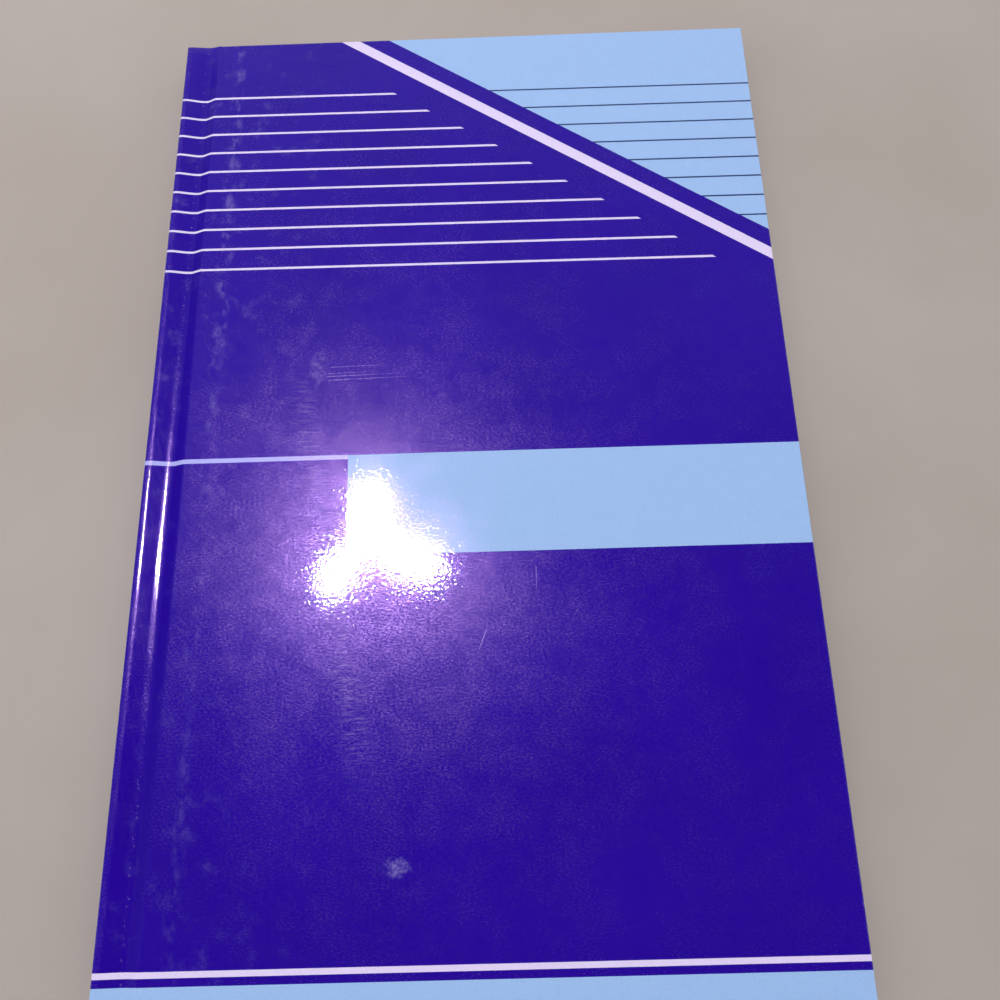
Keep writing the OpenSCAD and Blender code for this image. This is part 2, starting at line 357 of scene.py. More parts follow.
def joint_strip(side, front, material):
    """The sheet pressed into the groove, between the block and its cover."""
    us = steps(GROOVE_START, GROOVE_START + SHOULDER_BEND, 12)[:-1]
    us += steps(GROOVE_START + SHOULDER_BEND, GROOVE_U - FOOT_BEND, 10)[:-1]
    us += steps(GROOVE_U - FOOT_BEND, BOARD_U, 34)
    outer, inner, flat = [], [], []
    for y, outer_depth, inner_depth in folded_rows(76):
        tops = [(u, TOP - groove_drop(u, y)) for u in us]
        outer.append([(u, y, side_z(z - outer_depth, front)) for u, z in tops])
        inner.append([(u, y, side_z(z - inner_depth, front)) for u, z in tops])
        flat.append([sheet_place(u, y, front) for u in us])
    piece = sheets_piece(side + "_joint_strip", [sheet_solid(outer, inner, flat)], material)
    blend_from_block(piece)
    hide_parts(side + "_joint")


def blend_from_block(piece):
    """Bakes a sheet's placement into its mesh."""
    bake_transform(piece)


def spine_path(depth):
    """(u, z, place across the sheet) from the front joint round the spine to the back, depth inside."""
    radius = SPINE_ROUND - depth
    path = [(GROOVE_START, TOP - depth, GROOVE_START)]
    for angle in steps(90, 180, 7):
        a = math.radians(angle)
        across = SPINE_ROUND - SPINE_ROUND * (a - math.pi / 2)
        u, z = SPINE_ROUND + radius * math.cos(a), TOP - SPINE_ROUND + radius * math.sin(a)
        path.append((u, z, across))
    across_face = SPINE_ROUND - SPINE_ROUND * math.pi / 2
    for z in steps(TOP - SPINE_ROUND, SPINE_ROUND, 6)[1:-1]:
        path.append((depth, z, across_face - (TOP - SPINE_ROUND - z)))
    for angle in steps(180, 270, 7):
        a = math.radians(angle)
        across = BACK_START - SPINE_ROUND + SPINE_ROUND * (3 * math.pi / 2 - a)
        path.append((SPINE_ROUND + radius * math.cos(a), SPINE_ROUND + radius * math.sin(a), across))
    path.append((GROOVE_START, depth, BACK_START - GROOVE_START))
    return path


def spine_wrap(material):
    """The sheet round the spine strip."""
    outer, inner, flat = [], [], []
    for y, outer_depth, inner_depth in folded_rows(24):
        outer.append([(u, y, z) for u, z, _ in spine_path(outer_depth)])
        inner.append([(u, y, z) for u, z, _ in spine_path(inner_depth)])
        flat.append([(across, HALF_H - y) for _, _, across in spine_path(0)])
    piece = sheets_piece("spine_wrap", [sheet_solid(outer, inner, flat)], material)
    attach(piece, ROOT)
    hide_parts("spine_cover_sheet")


# Pieces of paper


def pastedown(side, front, material):
    """The endpaper glued inside a cover, with the step over the turn-ins showing through it."""
    window_u, window_y = COVER_W - TURN_IN, HALF_H - TURN_IN
    inner_u, inner_y = window_u - TURN_IN_STEP_W, window_y - TURN_IN_STEP_W
    us = steps(BOARD_U, inner_u, 14)[:-1] + steps(inner_u, window_u, 6)
    us += steps(window_u, FORE_U, 3)[1:]
    edge_ys = steps(-LEAF_HALF_H, -window_y, 3)[:-1] + steps(-window_y, -inner_y, 6)
    ys = edge_ys + steps(-inner_y, inner_y, 24)[1:-1] + [-y for y in edge_ys[::-1]]
    outer, inner, flat = [], [], []
    for y in ys:
        sunk_y = 1 - smooth(abs(y), inner_y, window_y)
        sunk = [sunk_y * (1 - smooth(u, inner_u, window_u)) for u in us]
        low = [TURN_IN_Z - ENDPAPER_T + (BOARD_Z - TURN_IN_Z) * share for share in sunk]
        outer.append([(u, y, side_z(z + ENDPAPER_T, front)) for u, z in zip(us, low)])
        inner.append([(u, y, side_z(z, front)) for u, z in zip(us, low)])
        flat.append([sheet_place(u, y, True) for u in us])
    piece = sheets_piece(side + "_pastedown_sheet", [sheet_solid(outer, inner, flat)], material)
    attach(piece, side + "_cover")
    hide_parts(side + "_pastedown")


def hinge_fold(side, front, material):
    """The endpaper between its fold and the board."""
    window_y = HALF_H - TURN_IN
    us = steps(HINGE_U - ENDPAPER_T, BOARD_U, 40)
    outer, inner, flat = [], [], []
    for y in steps(-LEAF_HALF_H, LEAF_HALF_H, 60):
        sunk = 1 - smooth(abs(y), window_y - TURN_IN_STEP_W, window_y)
        rise = [smooth(u, HINGE_U + HINGE_FLAT_W, BOARD_U) * sunk for u in us]
        low = [TURN_IN_Z - ENDPAPER_T + (BOARD_Z - TURN_IN_Z) * share for share in rise]
        outer.append([(u, y, side_z(z + ENDPAPER_T, front)) for u, z in zip(us, low)])
        inner.append([(u, y, side_z(z, front)) for u, z in zip(us, low)])
        flat.append([sheet_place(u, y, True) for u in us])
    piece = sheets_piece(side + "_hinge_fold", [sheet_solid(outer, inner, flat)], material)
    blend_from_block(piece)
    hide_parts(side + "_hinge_paper")


def leaf_solid(start_u, low, high, trim):
    """One leaf from inside its fold to the fore-edge. trim moves its fore-edge, tail and head."""
    bend_end = HINGE_U + LEAF_BEND[1]
    end_u, tail_y, head_y = FORE_U + trim[0], -LEAF_HALF_H + trim[1], LEAF_HALF_H + trim[2]
    us = steps(start_u, bend_end, 18) + steps(bend_end, end_u, 9)[1:]
    ys = steps(tail_y, head_y, 8)
    outer = [[(u, y, high) for u in us] for y in ys]
    inner = [[(u, y, low) for u in us] for y in ys]
    flat = [[sheet_place(u, y, True) for u in us] for y in ys]
    return sheet_solid(outer, inner, flat)


def leaf_piece(name, node, solids, material):
    """Leaves as one object, in place of the CAD node that is hidden."""
    piece = sheets_piece(name, solids, material)
    blend_from_block(piece)
    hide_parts(node)


def flyleaf(side, front, material):
    """The free half of an endpaper."""
    low, high = sorted((side_z(FLYLEAF_LOW, front), side_z(FLYLEAF_HIGH, front)))
    solid = leaf_solid(HINGE_U - ENDPAPER_T, low, high, (0, 0, 0))
    node = side + "_flyleaf"
    leaf_piece(node + "_sheet", node, [solid], material)


def leaf_pairs(material):
    """Every pair of leaves, cut a little unevenly as a guillotine leaves them."""
    trims = random.Random(TRIM_SEED)
    for node in sorted(name for name in frame["nodes"] if name.startswith("leaf_pair_")):
        low, high = box_mm(node)[0][2], box_mm(node)[1][2]
        solids = []
        for leaf_low in (low, high - LEAF_T):
            trim = [trims.uniform(-TRIM_SHORT, TRIM_LONG) for _ in range(3)]
            trim[1] = -trim[1]
            solids.append(leaf_solid(HINGE_U + LEAF_START, leaf_low, leaf_low + LEAF_T, trim))
        leaf_piece(node.replace("leaf_pair", "leaves"), node, solids, material)


def section_fold(node, material):
    """The folded back of one section, crowned where its sheets nest."""
    low, high = box_mm(node)[0][2], box_mm(node)[1][2]
    middle, half = (low + high) / 2, (high - low) / 2
    half_turn = steps(-math.pi / 2, math.pi / 2, 12)
    back = [(HINGE_U + FOLD_CROWN * (1 - math.cos(a)), middle + half * math.sin(a)) for a in half_turn]
    outline = back + [(HINGE_U + FOLD_DEPTH, high), (HINGE_U + FOLD_DEPTH, low)]
    ys = steps(-LEAF_HALF_H, LEAF_HALF_H, 40)
    count = len(outline)
    points = [(u, y, z) for y in ys for u, z in outline]
    places = [(z * FOLD_MAP_STRETCH, HALF_H - y) for _, y, z in points]
    faces = [tuple(range(count)), tuple(range(len(points) - count, len(points)))[::-1]]
    for row in range(len(ys) - 1):
        for i in range(count):
            a, b = row * count + i, row * count + (i + 1) % count
            faces.append((a, b, b + count, a + count))
    piece = make_piece(node.replace("_fold", "_back"), points, faces, places, material)
    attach(piece, ROOT)
    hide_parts(node)


# Materials


def linear(red, green, blue):
    """A colour as seen on screen, from 0 to 255, in the linear values that shaders take."""
    def one(value):
        share = value / 255
        return share / 12.92 if share <= 0.04045 else ((share + 0.055) / 1.055) ** 2.4
    return one(red), one(green), one(blue), 1.0


class Shader:
    """A material with one Principled shader, and short ways to add nodes in front of it."""

    def __init__(self, name):
        self.material = bpy.data.materials.new(name)
        self.material.use_nodes = True
        self.tree = self.material.node_tree
        self.shader = self.tree.nodes["Principled BSDF"]

    def plug(self, socket, value):
        if isinstance(value, bpy.types.NodeSocket):
            self.tree.links.new(value, socket)
        else:
            socket.default_value = value

    def set(self, **values):
        """Shader sockets by name, with _ for spaces."""
        for name, value in values.items():
            self.plug(self.shader.inputs[name.replace("_", " ")], value)

    def math(self, operation, *values):
        node = self.tree.nodes.new("ShaderNodeMath")
        node.operation = operation
        for socket, value in zip(node.inputs, values):
            self.plug(socket, value)
        return node.outputs[0]

    def above(self, value, limit):
        return self.math("GREATER_THAN", value, limit)

    def below(self, value, limit):
        return self.math("LESS_THAN", value, limit)

    def all_of(self, first, *others):
        for other in others:
            first = self.math("MULTIPLY", first, other)
        return first

    def any_of(self, first, *others):
        for other in others:
            first = self.math("MAXIMUM", first, other)
        return first

    def band(self, value, low, high):
        return self.all_of(self.above(value, low), self.below(value, high))

    def ramp(self, value, start, end, low=0.0, high=1.0):
        """low up to start, high from end, and a soft rise between them."""
        node = self.tree.nodes.new("ShaderNodeMapRange")
        node.interpolation_type = "SMOOTHSTEP"
        for socket, number in zip(node.inputs, (value, start, end, low, high)):
            self.plug(socket, number)
        return node.outputs[0]

    def mix(self, factor, first, second):
        node = self.tree.nodes.new("ShaderNodeMix")
        node.data_type = "RGBA"
        self.plug(node.inputs["Factor"], factor)
        self.plug(node.inputs["A"], first)
        self.plug(node.inputs["B"], second)
        return node.outputs["Result"]

    def flat_place(self):
        """The place on the flat sheet in millimetres, as a vector."""
        node = self.tree.nodes.new("ShaderNodeUVMap")
        node.uv_map = SHEET_MAP
        return node.outputs["UV"]

    def object_place(self):
        node = self.tree.nodes.new("ShaderNodeTexCoord")
        return node.outputs["Object"]

    def split(self, vector):
        node = self.tree.nodes.new("ShaderNodeSeparateXYZ")
        self.plug(node.inputs[0], vector)
        return node.outputs

    def scaled(self, vector, factors, turn=0.0):
        node = self.tree.nodes.new("ShaderNodeMapping")
        self.plug(node.inputs["Vector"], vector)
        node.inputs["Rotation"].default_value = (0, 0, math.radians(turn))
        node.inputs["Scale"].default_value = factors
        return node.outputs[0]

    def grain(self, vector, scale, detail=2.0, roughness=0.5):
        node = self.tree.nodes.new("ShaderNodeTexNoise")
        self.plug(node.inputs["Vector"], vector)
        node.inputs["Scale"].default_value = scale
        node.inputs["Detail"].default_value = detail
        node.inputs["Roughness"].default_value = roughness
        return node.outputs[0]

    def bump(self, height, depth_mm):
        node = self.tree.nodes.new("ShaderNodeBump")
        node.inputs["Distance"].default_value = depth_mm * MM
        self.plug(node.inputs["Height"], height)
        return node.outputs[0]


# The print, in millimetres on the flat sheet: across from the spine edge, down from the head edge
DIAGONAL_SLOPE = 0.677
RULE_COUNT, RULE_FIRST, RULE_PITCH, RULE_W = 10, 23.75, 7.64, 0.78
RULE_END = 38.6
STRIPE_START, STRIPE_END = 54.2, 60.6
CORNER_START = 70.9
CORNER_RULE_COUNT, CORNER_RULE_W = 8, 0.58
BAND_TOP, BAND_FOOT, BAND_START = 158.0, 189.3, 61.0
LINE_TOP, LINE_FOOT = 157.9, 159.3
TAIL_STRIPE_TOP, TAIL_STRIPE_FOOT = 296.8, 298.3
TAIL_BAND_TOP = 300.3

# The print went on the boards a little askew: fall of its level lines, and of the rules about one place
PRINT_SKEW = 0.0022
RULE_SKEW, RULE_SKEW_FROM = 0.0065, 66.0

# Inks, and the colour that scuffing leaves, which also paints the glints along the joint's crease
INK_BLUE = linear(36, 2, 155)
INK_BLUE_DEEP = linear(33, 1, 148)
INK_PALE = linear(160, 193, 241)
INK_WHITE = linear(228, 215, 250)
INK_LINE = linear(176, 180, 246)
INK_RULE = linear(38, 60, 116)
SCUFF_AND_GLINT = linear(176, 160, 222)


def cover_print():
    """Glossy laminated print: blue ground, white rules, pale corner, band and tail strip, with wear and
    painted glints along the joint's crease.
    """
    kit = Shader("cover_print")
    place = kit.flat_place()
    across, down, _ = kit.split(place)
    diagonal = kit.math("SUBTRACT", across, kit.math("DIVIDE", down, DIAGONAL_SLOPE))
    on_front = kit.above(across, BACK_START)
    level = kit.math("SUBTRACT", down, kit.math("MULTIPLY", across, PRINT_SKEW))

    askew = kit.math("MULTIPLY", kit.math("SUBTRACT", across, RULE_SKEW_FROM), RULE_SKEW)
    from_first = kit.math("SUBTRACT", kit.math("SUBTRACT", down, askew), RULE_FIRST)
    rule = kit.math("DIVIDE", from_first, RULE_PITCH)
    number = kit.math("ROUND", rule)
    off = kit.math("MULTIPLY", kit.math("ABSOLUTE", kit.math("SUBTRACT", rule, number)), RULE_PITCH)
    rules = kit.all_of(kit.below(off, RULE_W / 2), kit.band(number, -0.5, RULE_COUNT - 0.5))
    rules = kit.all_of(rules, kit.below(diagonal, RULE_END), on_front)
    corner = kit.above(diagonal, CORNER_START)
    corner_rules = kit.all_of(kit.below(off, CORNER_RULE_W / 2), corner)
    corner_rules = kit.all_of(corner_rules, kit.band(number, -0.5, CORNER_RULE_COUNT - 0.5))
    white = kit.any_of(
        rules,
        kit.band(diagonal, STRIPE_START, STRIPE_END),
        kit.band(level, TAIL_STRIPE_TOP, TAIL_STRIPE_FOOT),
    )
    line = kit.all_of(kit.band(level, LINE_TOP, LINE_FOOT), kit.below(across, BAND_START), on_front)
    pale = kit.any_of(
        corner,
        kit.all_of(kit.band(level, BAND_TOP, BAND_FOOT), kit.above(across, BAND_START)),
        kit.above(level, TAIL_BAND_TOP),
    )

    cloud = kit.ramp(kit.grain(place, 0.03, 3), 0.3, 0.7)
    colour = kit.mix(cloud, INK_BLUE, INK_BLUE_DEEP)
    colour = kit.mix(pale, colour, INK_PALE)
    colour = kit.mix(corner_rules, colour, INK_RULE)
    colour = kit.mix(white, colour, INK_WHITE)
    colour = kit.mix(line, colour, INK_LINE)

    # Distance from the face of the spine, on the front and on the back alike
    from_middle = kit.math("ABSOLUTE", kit.math("SUBTRACT", across, BACK_START / 2))
    from_spine = kit.math("ADD", from_middle, BACK_START / 2)
    # Wear lightens the print, and so do painted glints along the joint's crease
    wear_and_glints = cover_wear_and_glints(kit, place, across, down, from_spine)
    kit.set(Base_Color=kit.mix(wear_and_glints, colour, SCUFF_AND_GLINT))
    laminate(kit, place, from_spine, pale, wear_and_glints)
    return kit.material


# The laminate over the print: depths in millimetres, and shares of them in the joint and over pale ink
STIPPLE_DEPTH, RUB_DEPTH = 0.019, 0.009
JOINT_RELIEF, PALE_RELIEF = 0.7, 0.3

# Its roughness, from place to place and from grain to grain, and what changes it. The edge of the spine
# is rubbed dull, and that fades out between two distances from the spine's face, in millimetres
SMUDGE_ROUGH, GRIT_ROUGH = (0.19, 0.28), (-0.04, 0.04)
JOINT_ROUGH, PALE_ROUGH, WORN_ROUGH, LEAST_ROUGH = -0.07, -0.13, 0.12, 0.07
SPINE_EDGE_ROUGH, SPINE_EDGE_RUB, SPINE_EDGE_FADE = 0.14, 1.2, 2.8

# How much its rubbed face mirrors, from speck to speck and patch to patch, and the clear coat on it
HAZE_SPECKS, HAZE_PATCHES = (0.08, 0.94), (0.75, 1.25)
HAZE_TINT = (0.72, 0.39, 1.0, 1.0)
COAT_ROUGH, COAT_IOR = 0.035, 1.5


def laminate(kit, place, from_spine, pale, wear_and_glints):
    """A stippled clear coat over a rubbed and hazy face, smoother in the joint and over pale ink."""
    pressed = kit.ramp(from_spine, GROOVE_U, BOARD_U, JOINT_RELIEF, 1.0)
    stipple = kit.grain(kit.scaled(place, (1.0, 1.2, 1)), 0.9, 1, 0.5)
    gloss = kit.bump(kit.math("MULTIPLY", stipple, pressed), STIPPLE_DEPTH)
    grit = kit.grain(kit.scaled(place, (0.9, 1.5, 1)), 1.5, 0.5, 0.5)
    coarse = kit.all_of(kit.math("SUBTRACT", grit, 0.5), pressed)
    coarse = kit.all_of(coarse, kit.ramp(pale, 0.0, 1.0, 1.0, PALE_RELIEF))
    kit.set(Normal=kit.bump(coarse, RUB_DEPTH), Coat_Normal=gloss)

    rough = kit.ramp(kit.grain(place, 0.06, 4, 0.6), 0.25, 0.75, *SMUDGE_ROUGH)
    spine_edge = kit.ramp(from_spine, SPINE_EDGE_RUB, SPINE_EDGE_FADE, SPINE_EDGE_ROUGH, 0.0)
    rough = kit.math("ADD", rough, kit.ramp(grit, 0.35, 0.65, *GRIT_ROUGH))
    rough = kit.math("ADD", rough, kit.ramp(from_spine, GROOVE_U, BOARD_U, JOINT_ROUGH, 0.0))
    rough = kit.math("ADD", rough, spine_edge)
    rough = kit.math("ADD", rough, kit.math("MULTIPLY", pale, PALE_ROUGH))
    rough = kit.math("MAXIMUM", rough, LEAST_ROUGH)
    kit.set(Roughness=kit.math("ADD", rough, kit.math("MULTIPLY", wear_and_glints, WORN_ROUGH)))

    speckle = kit.grain(kit.scaled(place, (0.8, 1.4, 1)), 1.6, 3, 0.7)
    patches = kit.ramp(kit.grain(place, 0.22, 3, 0.6), 0.3, 0.7, *HAZE_PATCHES)
    haze = kit.all_of(kit.ramp(speckle, 0.35, 0.65, *HAZE_SPECKS), patches)
    kit.set(Specular_IOR_Level=haze, Specular_Tint=HAZE_TINT)
    kit.set(Coat_Weight=1.0, Coat_Roughness=COAT_ROUGH, Coat_IOR=COAT_IOR)


# Wear of the print, in millimetres on the flat sheet. The handled column leans, and is placed at its foot
HANDLED_ACROSS, HANDLED_HALF_W, HANDLED_LEAN = 69.2, 6.5, 0.18
HANDLED_TOP, HANDLED_RISE, HANDLED_FALL, HANDLED_FOOT = 118.0, 50.0, 40.0, 264.0

# The scuffs beside the spine wander, and fade outwards and towards the tail, to a share of their strength
WANDER = 5.0
SPINE_SIDE_END, SPINE_SIDE_FADE, SPINE_SIDE_FAR = 30.0, 60.0, 0.03
FADE_TOP, FADE_FOOT = 90.0, 190.0
RIDGE_AT_FOOT, SPINE_SIDE_AT_FOOT = 0.3, 0.4
# The crease where the shoulder bends into the groove, in millimetres from the spine; its specks are
# partly wear and partly painted glints
CREASE_U = 7.2

# Ragged spots: middle and half size
RUB_AT, RUB_HALF = (76.6, 274.0), (4.0, 3.0)
DULL_AT, DULL_HALF = (51.0, 129.0), (4.0, 8.0)
NICKS_AT, NICKS_HALF = (103.0, 200.0), (7.0, 11.0)

# Scratches: start, end and strength
SCRATCHES = (
    ((97.7, 220.7), (101.2, 211.8), 0.55),
    ((104.4, 225.8), (106.7, 223.7), 0.25),
    ((115.4, 203.6), (115.5, 194.0), 0.4),
    ((121.2, 218.6), (127.5, 205.2), 0.14),
    ((75.0, 128.3), (54.5, 128.6), 0.45),
    ((72.0, 130.5), (53.5, 130.8), 0.35),
    ((80.0, 131.3), (53.0, 131.8), 0.5),
    ((84.0, 132.4), (54.0, 133.1), 0.55),
)
SCRATCH_W = 0.3

# Share of wear at its strongest, by kind, and the range of the two that are mottled. The crease's share
# also paints glints
RIDGE_WEAR, SPINE_SIDE_WEAR, CREASE_WEAR_AND_GLINTS, HANDLED_WEAR = 0.24, 0.15, 0.5, 0.36
NICK_WEAR, EDGE_WEAR = 0.4, 0.4
RUB_WEAR, DULL_WEAR = (0.14, 0.44), (0.04, 0.22)


def spot(kit, place, across, down, at, half):
    """1 in the middle of a ragged oval, 0 outside it."""
    x = kit.math("DIVIDE", kit.math("SUBTRACT", across, at[0]), half[0])
    y = kit.math("DIVIDE", kit.math("SUBTRACT", down, at[1]), half[1])
    out = kit.math("ADD", kit.math("MULTIPLY", x, x), kit.math("MULTIPLY", y, y))
    ragged = kit.math("MULTIPLY", kit.math("SUBTRACT", kit.grain(place, 0.6, 5, 0.7), 0.5), 3.2)
    return kit.ramp(kit.math("ADD", out, ragged), -0.4, 1.0, 1.0, 0.0)


def scratch(kit, across, down, start, end, strength):
    """A thin straight scratch that grows stronger towards its end and stops there."""
    run = Vector(end) - Vector(start)
    length = run.length
    x = kit.math("SUBTRACT", across, start[0])
    y = kit.math("SUBTRACT", down, start[1])
    way = run / length
    along = kit.math("ADD", kit.math("MULTIPLY", x, way.x), kit.math("MULTIPLY", y, way.y))
    off = kit.math("SUBTRACT", kit.math("MULTIPLY", x, way.y), kit.math("MULTIPLY", y, way.x))
    line = kit.ramp(kit.math("ABSOLUTE", off), SCRATCH_W / 4, SCRATCH_W / 2, strength, 0.0)
    growth = kit.ramp(along, 0.0, 0.8 * length)
    return kit.all_of(line, growth, kit.ramp(along, length - 2 * SCRATCH_W, length, 1.0, 0.0))


def cover_wear_and_glints(kit, place, across, down, from_spine):
    """Share of scuffing and painted glints: patches by the spine, streaks where it is held, specks on the
    crease that are partly wear and partly painted glints, scratches and rubbed edges.
    """
    wander = kit.grain(kit.scaled(place, (0, 1, 1)), 0.09, 2)
    wander = kit.math("MULTIPLY", kit.math("SUBTRACT", wander, 0.5), WANDER)
    off_ridge = kit.math("SUBTRACT", kit.math("SUBTRACT", from_spine, RIDGE_U), wander)
    clouds = kit.ramp(kit.grain(kit.scaled(place, (1.0, 0.55, 1)), 0.34, 3, 0.55), 0.45, 0.72)
    ridge = kit.all_of(kit.ramp(kit.math("ABSOLUTE", off_ridge), 0.2, 3.0, RIDGE_WEAR, 0.0), clouds)
    ridge = kit.all_of(ridge, kit.ramp(down, FADE_TOP, FADE_FOOT, 1.0, RIDGE_AT_FOOT))

    soft = kit.ramp(kit.grain(place, 0.12, 5, 0.65), 0.54, 0.78, 0.0, SPINE_SIDE_WEAR)
    outwards = kit.ramp(from_spine, SPINE_SIDE_END, SPINE_SIDE_FADE, 1.0, SPINE_SIDE_FAR)
    near_spine = kit.all_of(soft, outwards)
    near_spine = kit.all_of(near_spine, kit.ramp(down, FADE_TOP, FADE_FOOT, 1.0, SPINE_SIDE_AT_FOOT))

    # Whitish specks on the crease: partly wear of the bent film, partly painted glints of the light line
    # that runs along it
    specks = kit.ramp(kit.grain(place, 1.1, 3, 0.6), 0.58, 0.72)
    off_crease = kit.math("ABSOLUTE", kit.math("SUBTRACT", from_spine, CREASE_U))
    crease_wear_and_glints = kit.all_of(kit.ramp(off_crease, 0.1, 0.6, CREASE_WEAR_AND_GLINTS, 0.0), specks)

    streaks = kit.ramp(kit.grain(kit.scaled(place, (0.2, 1.3, 1)), 1.0, 4, 0.65), 0.45, 0.72)
    lean = kit.math("MULTIPLY", kit.math("SUBTRACT", down, HANDLED_FOOT), HANDLED_LEAN)
    off_held = kit.math("SUBTRACT", kit.math("SUBTRACT", across, HANDLED_ACROSS), lean)
    off_held = kit.math("ABSOLUTE", off_held)
    held = kit.ramp(off_held, 0.0, HANDLED_HALF_W, HANDLED_WEAR, 0.0)
    held = kit.all_of(held, kit.ramp(down, HANDLED_TOP, HANDLED_TOP + HANDLED_RISE), streaks)
    held = kit.all_of(held, kit.ramp(down, HANDLED_FOOT - HANDLED_FALL, HANDLED_FOOT, 1.0, 0.0))

    mottle = kit.ramp(kit.grain(place, 1.3, 3, 0.6), 0.4, 0.62, *RUB_WEAR)
    rub = kit.all_of(spot(kit, place, across, down, RUB_AT, RUB_HALF), mottle)
    dull = kit.ramp(kit.grain(place, 0.5, 3, 0.6), 0.4, 0.65, *DULL_WEAR)
    dull = kit.all_of(spot(kit, place, across, down, DULL_AT, DULL_HALF), dull)
    upright = kit.grain(kit.scaled(place, (1.3, 0.3, 1), 12), 1.0, 3)
    upright = kit.ramp(upright, 0.6, 0.72, 0.0, NICK_WEAR)
    nicks = kit.all_of(spot(kit, place, across, down, NICKS_AT, NICKS_HALF), upright)

    to_edge = kit.math("MINIMUM", kit.math("SUBTRACT", COVER_W, from_spine), down)
    to_edge = kit.math("MINIMUM", to_edge, kit.math("SUBTRACT", 2 * HALF_H, down))
    chipped = kit.ramp(kit.grain(place, 0.8, 4, 0.7), 0.55, 0.75)
    edge = kit.all_of(kit.ramp(to_edge, 0.1, 0.8, EDGE_WEAR, 0.0), chipped)
    lines = kit.any_of(*[scratch(kit, across, down, *each) for each in SCRATCHES])
    lines = kit.all_of(lines, kit.ramp(kit.grain(place, 0.8, 2), 0.35, 0.6, 0.25, 1.0))
    return kit.any_of(ridge, near_spine, crease_wear_and_glints, held, rub, dull, nicks, edge, lines)


def fibre_colour(kit, place, light, dark, scale):
    """Paper colour, clouded as pulp settles."""
    cloud = kit.ramp(kit.grain(place, scale, 4, 0.6), 0.3, 0.7)
    return kit.mix(cloud, light, dark)


# The ruling of the leaves, in millimetres on the flat leaf
LINE_PITCH, LINE_FIRST, LINE_LAST, LINE_W = 8.0, 33.0, 303.0, 0.28
HEAD_LINE, HEAD_LINE_W = 25.0, 0.35
MARGIN_ACROSS, MARGIN_W = 38.0, 0.35


def leaf_paper():
    """Ruled writing paper: faint blue lines, a head line and one red margin line."""
    kit = Shader("leaf_paper")
    place = kit.flat_place()
    across, down, _ = kit.split(place)
    line = kit.math("DIVIDE", kit.math("SUBTRACT", down, LINE_FIRST), LINE_PITCH)
    off = kit.math("ABSOLUTE", kit.math("SUBTRACT", line, kit.math("ROUND", line)))
    lines = kit.below(kit.math("MULTIPLY", off, LINE_PITCH), LINE_W / 2)
    lines = kit.all_of(lines, kit.band(down, LINE_FIRST - 1, LINE_LAST + 1))
    head_line = kit.band(down, HEAD_LINE - HEAD_LINE_W / 2, HEAD_LINE + HEAD_LINE_W / 2)
    margin = kit.band(across, MARGIN_ACROSS - MARGIN_W / 2, MARGIN_ACROSS + MARGIN_W / 2)
    paper = fibre_colour(kit, place, linear(240, 238, 228), linear(233, 229, 216), 0.35)
    colour = kit.mix(kit.any_of(lines, head_line), paper, linear(150, 178, 214))
    colour = kit.mix(margin, colour, linear(214, 118, 128))
    tooth = kit.bump(kit.grain(place, 4.0, 3, 0.6), 0.006)
    kit.set(Base_Color=colour, Roughness=0.85, Specular_IOR_Level=0.25, Normal=tooth)
    return kit.material


def endpaper():
    """Heavier plain paper with faint patches of tone."""
    kit = Shader("endpaper")
    place = kit.flat_place()
    paper = fibre_colour(kit, place, linear(244, 242, 234), linear(236, 232, 220), 0.2)
    stain = kit.ramp(kit.grain(kit.scaled(place, (0.02, 0.02, 1)), 1.0, 4, 0.6), 0.55, 0.8, 0.0, 0.35)
    colour = kit.mix(stain, paper, linear(228, 220, 200))
    tooth = kit.bump(kit.grain(place, 3.0, 4, 0.65), 0.01)
    kit.set(Base_Color=colour, Roughness=0.8, Specular_IOR_Level=0.25, Normal=tooth)
    return kit.material


def fold_paper():
    """The folded backs: the edges of nested sheets, with dried glue between them."""
    kit = Shader("fold_paper")
    place = kit.flat_place()
    layers = kit.grain(kit.scaled(place, (2.2, 0.02, 1)), 1.0, 2, 0.6)
    colour = kit.mix(kit.ramp(layers, 0.35, 0.65), linear(236, 232, 218), linear(214, 205, 182))
    kit.set(Base_Color=colour, Roughness=0.7, Specular_IOR_Level=0.3, Normal=kit.bump(layers, 0.05))
    return kit.material


def greyboard():
    """Pressed grey pulp with darker flecks."""
    kit = Shader("greyboard")
    place = kit.object_place()
    pulp = kit.ramp(kit.grain(place, 900, 5, 0.7), 0.3, 0.7)
    colour = kit.mix(pulp, linear(150, 142, 130), linear(122, 114, 104))
    flecks = kit.ramp(kit.grain(kit.scaled(place, (1, 3, 3)), 500, 2), 0.68, 0.76, 0.0, 0.6)
    colour = kit.mix(flecks, colour, linear(84, 78, 72))
    kit.set(Base_Color=colour, Roughness=0.9, Specular_IOR_Level=0.2, Normal=kit.bump(pulp, 0.05))
    return kit.material


# Threads of the gauze, in millimetres apart
GAUZE_PITCH = 1.0


def woven_gauze():
    """Open gauze in dried glue: two sets of threads a millimetre apart."""
    kit = Shader("mull")
    _, along, up = kit.split(kit.object_place())
    pitch = GAUZE_PITCH * MM
    warp = kit.math("PINGPONG", along, pitch / 2)
    weft = kit.math("PINGPONG", up, pitch / 2)
    threads = kit.any_of(*[kit.ramp(each, 0.25 * pitch, 0.4 * pitch) for each in (warp, weft)])
    colour = kit.mix(threads, linear(206, 190, 150), linear(226, 219, 198))
    kit.set(Base_Color=colour, Roughness=0.75, Specular_IOR_Level=0.3, Normal=kit.bump(threads, 0.1))
    return kit.material


